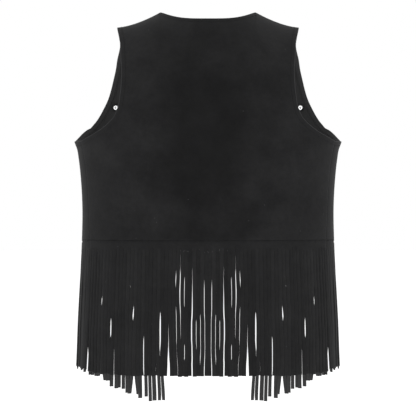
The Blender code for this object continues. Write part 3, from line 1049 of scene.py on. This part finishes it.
def suede(name, dark, light, fringe=False):
    """Black imitation suede: mottled nap, fine grain, a few lint specks, a paler inner side that is partly
    painted light, and on the panels painted shade down the middle of the back, a painted highlight on the
    hem edges and a painted shadow round the rivets.
    """
    made, tree, shader = new_material(name)
    link = tree.links.new
    place = add_node(tree, "ShaderNodeTexCoord").outputs["Object"]

    def value_of(label):
        return add_node(tree, "ShaderNodeAttribute", attribute_name=label).outputs["Fac"]

    def maths(operation, first, second):
        node = add_node(tree, "ShaderNodeMath", operation=operation)
        for socket, value in zip(node.inputs, (first, second)):
            if isinstance(value, (int, float)):
                socket.default_value = value
            else:
                link(value, socket)
        return node.outputs[0]

    def product(first, second):
        return maths("MULTIPLY", first, second)

    def mixed(share, first, second):
        node = add_node(tree, "ShaderNodeMix", data_type="RGBA")
        link(share, node.inputs["Factor"])
        link(first, node.inputs["A"])
        set_sockets(node, {"B": (*second, 1)})
        return node.outputs["Result"]

    nap, brushed, grain = (add_noise(tree, *look) for look in (NAP, BRUSHED, GRAIN))
    blend = maths("ADD", product(nap, NAP_SHARE), product(brushed, BRUSHED_SHARE))
    blend = maths("ADD", blend, product(grain, GRAIN_SHARE))
    if fringe:
        blend = maths("ADD", product(blend, 0.85), product(value_of("tone"), 0.14))
    colour = ramp(tree, blend, ((0.34, dark), (0.66, light)))
    if not fringe:
        # painted shade, darkest down the middle of the back
        flat = add_node(tree, "ShaderNodeVectorMath", operation="MULTIPLY")
        link(place, flat.inputs[0])
        flat.inputs[1].default_value = (1, 1, 1 / PAINTED_CENTRE_SHADE_HEIGHT)
        away = add_node(tree, "ShaderNodeVectorMath", operation="DISTANCE")
        link(flat.outputs["Vector"], away.inputs[0])
        x, y, z = PAINTED_CENTRE_SHADE_PLACE
        away.inputs[1].default_value = (x, y, z / PAINTED_CENTRE_SHADE_HEIGHT)
        wander = product(maths("SUBTRACT", nap, 0.5), 0.10)
        reach = product(maths("ADD", away.outputs["Value"], wander), 1 / PAINTED_CENTRE_SHADE_REACH)
        centre_shade = ramp(tree, reach, ((0.0, 0.58), (0.35, 0.48), (1.0, 0.0)))
        colour = mixed(centre_shade, colour, PAINTED_CENTRE_SHADE)
    # painted light: paler colour on the inner side and turned hems, making up for the shade inside the
    # hollow
    colour = mixed(value_of("reverse"), colour, INNER_SIDE_PAINTED_LIGHT)

    lint = add_node(tree, "ShaderNodeTexVoronoi", Scale=LINT_SPOTS)
    link(place, lint.inputs["Vector"])
    spot = maths("LESS_THAN", lint.outputs["Distance"], LINT_SIZE)
    chosen = maths("GREATER_THAN", add_noise(tree, *LINT_PLACES), LINT_PLACES_FROM)
    colour = mixed(product(product(spot, chosen), LINT_SHARE), colour, LINT)
    if not fringe:
        # painted highlight: lighter colour within about a millimetre of a hem edge
        edge_highlight = ramp(tree, product(value_of("hem"), 100.0), ((0.0, 0.7), (0.07, 0.6), (0.14, 0.0)))
        colour = mixed(edge_highlight, colour, PAINTED_EDGE_HIGHLIGHT)
        # painted shadow round each rivet
        colour = mixed(product(value_of("rivet_shadow"), 0.75), colour, PAINTED_RIVET_SHADOW)
    link(colour, shader.inputs["Base Color"])
    link(ramp(tree, brushed, ((0.3, 0.88), (0.7, 1.0))), shader.inputs["Roughness"])

    normal = add_bump(tree, grain, 0.35, 0.0003)
    normal = add_bump(tree, brushed, 0.30, 0.0012, normal)
    if not fringe:
        groove = ramp(tree, product(value_of("hem"), 60.0),
                      ((0.0, 0.8), (0.375, 0.8), (0.432, 0.1), (0.49, 0.65), (0.60, 0.6)))
        normal = add_bump(tree, groove, 0.25, 0.0007, normal)
    link(normal, shader.inputs["Normal"])
    set_sockets(shader, {"Specular IOR Level": 0.06, "Sheen Weight": 0.085,
                         "Sheen Roughness": 0.50, "Sheen Tint": (0.8, 0.8, 0.8, 1)})
    return made


def steel(name):
    """Polished steel with faint turning marks and a few scuffs."""
    made, tree, shader = new_material(name)
    link = tree.links.new
    scuffs = add_noise(tree, *STEEL_SCUFFS)
    colour = ramp(tree, scuffs, ((0.3, (0.92, 0.92, 0.93)), (0.7, (0.98, 0.98, 0.98))))
    link(colour, shader.inputs["Base Color"])
    link(ramp(tree, scuffs, ((0.35, 0.10), (0.7, 0.20))), shader.inputs["Roughness"])
    link(add_bump(tree, add_noise(tree, *STEEL_MARKS), 0.15, 0.0001), shader.inputs["Normal"])
    set_sockets(shader, {"Metallic": 1.0})
    return made


def thread(name):
    made, tree, shader = new_material(name)
    twist = add_noise(tree, *THREAD_TWIST)
    tree.links.new(ramp(tree, twist, ((0.3, 0.007), (0.7, 0.016))), shader.inputs["Base Color"])
    tree.links.new(add_bump(tree, twist, 0.5, 0.0002), shader.inputs["Normal"])
    set_sockets(shader, {"Roughness": 0.8, "Specular IOR Level": 0.15})
    return made


panel_suede = suede("panel_suede", (0.0125, 0.0125, 0.0130), (0.0235, 0.0235, 0.0240))
fringe_suede = suede("cut_suede", (0.0115, 0.0115, 0.012), (0.0245, 0.0245, 0.025), fringe=True)
rivet_steel = steel("polished_steel")
black_thread = thread("black_thread")


def stand_for(piece, node):
    """A piece rides on the only body, in place of its solid and with its finish."""
    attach(piece, "root")
    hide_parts(node)


# Panels
chance = random.Random(7)

back_grid = grid_of(back_point, BACK_COLUMNS, BACK_WALL_ROWS + BACK_TOP_ROWS)
back = Cloth(back_grid, relief=lambda points: -crease_depth(points, BACK_CREASES, 1))
underarm_row = round(BACK_WALL_ROWS * (UNDERARM_Z - BACK_HEM_Z) / (BACK_WALL_TOP - BACK_HEM_Z))
neck = [c for c in range(BACK_COLUMNS + 1) if abs(back_grid[-1, c, 0]) <= NECK_X]
back_curves = (back_grid[underarm_row:, 0], back_grid[underarm_row:, -1],
               back_grid[-1, neck[0]:neck[-1] + 1])
back_hems = [(curve, BACK_INSIDE) for curve in back_curves]
back_cloth = add_panel("back_cloth", back, back_hems, panel_suede)
stand_for(back_cloth, "back")


def add_stitches(name, cloth, hems):
    parts = []
    for curve, inside in hems:
        for lift in (CLOTH / 2, -CLOTH / 2 - FOLD):
            parts.append(stitches(cloth, curve, inside, lift, chance))
    thing = add_mesh(name, parts, black_thread)
    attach(thing, "root")
    return thing


back_thread = add_stitches("back_stitches", back, back_hems)

for name, side in (("left", -1), ("right", 1)):
    grid = grid_of(lambda column, row: front_point(column, row, side),
                   FRONT_COLUMNS, FRONT_WALL_ROWS + FRONT_TOP_ROWS)
    cloth = Cloth(grid, front_armhole_cut, flip=side < 0,
                  relief=lambda points: -crease_depth(points, FRONT_CREASES, side))
    armhole = np.concatenate((grid[FRONT_WALL_ROWS, :FOOT_COLUMNS + 1],
                              grid[FRONT_WALL_ROWS + 1:, FOOT_COLUMNS]))
    mirror = np.array((side, 1, 1))
    hems = [(armhole, mirror * ARMHOLE_INSIDE), (grid[:, -1], mirror * EDGE_INSIDE)]
    rivet, rivet_place = turned_rivet("rivet_finish_" + name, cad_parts["rivet_" + name], rivet_steel)
    stand_for(rivet, "rivet_" + name)
    panel = add_panel("front_cloth_" + name, cloth, hems, panel_suede, rivet_place)
    stand_for(panel, "front_" + name)
    threads = add_stitches("front_stitches_" + name, cloth, hems)

# Fringes
grid, shades = back_fringe(random.Random(23))
back_fringe_cloth = add_fringe("back_fringe_cloth", grid, shades, fringe_suede, mirrored=True)
stand_for(back_fringe_cloth, "fringe_back")
for name, side in (("left", -1), ("right", 1)):
    grid, shades = front_fringe(side, random.Random(31))
    fringe = add_fringe("front_fringe_cloth_" + name, grid, shades, fringe_suede, flip=side < 0)
    stand_for(fringe, "fringe_front_" + name)

# Floor, light and camera
FLOOR_Z = -0.80
FILL_LIGHT = 0.55       # of the white surroundings on the cloth
bpy.ops.mesh.primitive_plane_add(size=30, location=(0, 0, FLOOR_Z))
floor = bpy.context.object
floor.name = "floor"
floor_paint, _, floor_shader = new_material("pale_floor")
set_sockets(floor_shader, {"Base Color": (0.95, 0.95, 0.95, 1), "Roughness": 0.9,
                           "Emission Color": (1, 1, 1, 1), "Emission Strength": 0.60})
floor.data.materials.append(floor_paint)

world = scene.world or bpy.data.worlds.new("World")
scene.world = world
world.use_nodes = True
tree = world.node_tree
background = tree.nodes["Background"]
set_sockets(background, {"Color": (1, 1, 1, 1)})
rays = add_node(tree, "ShaderNodeLightPath")
seen = add_node(tree, "ShaderNodeMath", operation="MAXIMUM")
strength = add_node(tree, "ShaderNodeMapRange")
set_sockets(strength, {"To Min": FILL_LIGHT})
link = tree.links.new
link(rays.outputs["Is Camera Ray"], seen.inputs[0])
link(rays.outputs["Is Glossy Ray"], seen.inputs[1])
link(seen.outputs[0], strength.inputs["Value"])
link(strength.outputs["Result"], background.inputs["Strength"])
scene.view_settings.view_transform = "Standard"

LIGHT_AIM = (0, 0, -0.30)
LIGHTS = (
    # name, place, size, watts
    ("left_softbox", (-2.0, 0.0, 0.1), 1.4, 2.6),
    ("right_softbox", (2.0, 0.0, 0.1), 1.4, 2.6),
    ("top_softbox", (0, -0.6, 1.8), 1.6, 13),
)
for name, place, size, watts in LIGHTS:
    lamp = bpy.data.lights.new(name, "AREA")
    lamp.shape = "SQUARE"
    lamp.size = size
    lamp.energy = watts
    softbox = add_object(name, lamp, place)
    softbox.rotation_euler = (Vector(LIGHT_AIM) - Vector(place)).to_track_quat("-Z", "Y").to_euler()

CAMERA_AWAY = 2.40
CAMERA_Z = -0.300

# A small light in the hollow, where the flat washers of the rivets mirror it
HOLLOW_LIGHT_SIZE = 0.045
HOLLOW_LIGHT_WATTS = 0.12
washer, axis = rivet_axis(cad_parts["rivet_right"])
view = unit(np.array((washer[0], washer[1] + CAMERA_AWAY, washer[2] - CAMERA_Z)))
mirrored_view = view - 2 * view.dot(axis) * axis
hollow_place = washer - mirrored_view * washer[0] / mirrored_view[0]
lamp = bpy.data.lights.new("hollow_light", "POINT")
lamp.shadow_soft_size = HOLLOW_LIGHT_SIZE
lamp.energy = HOLLOW_LIGHT_WATTS
hollow_light = add_object("hollow_light", lamp, hollow_place)
hollow_light.visible_camera = False

FRAME_WIDTH = 0.6633    # of the photo, at the vest's mid depth
camera_data = bpy.data.cameras.new("camera")
camera_data.sensor_width = 36
camera_data.lens = 36 * CAMERA_AWAY / FRAME_WIDTH
camera = add_object("camera", camera_data, (0, -CAMERA_AWAY, CAMERA_Z))
camera.rotation_euler = (math.pi / 2, 0, 0)
scene.camera = camera
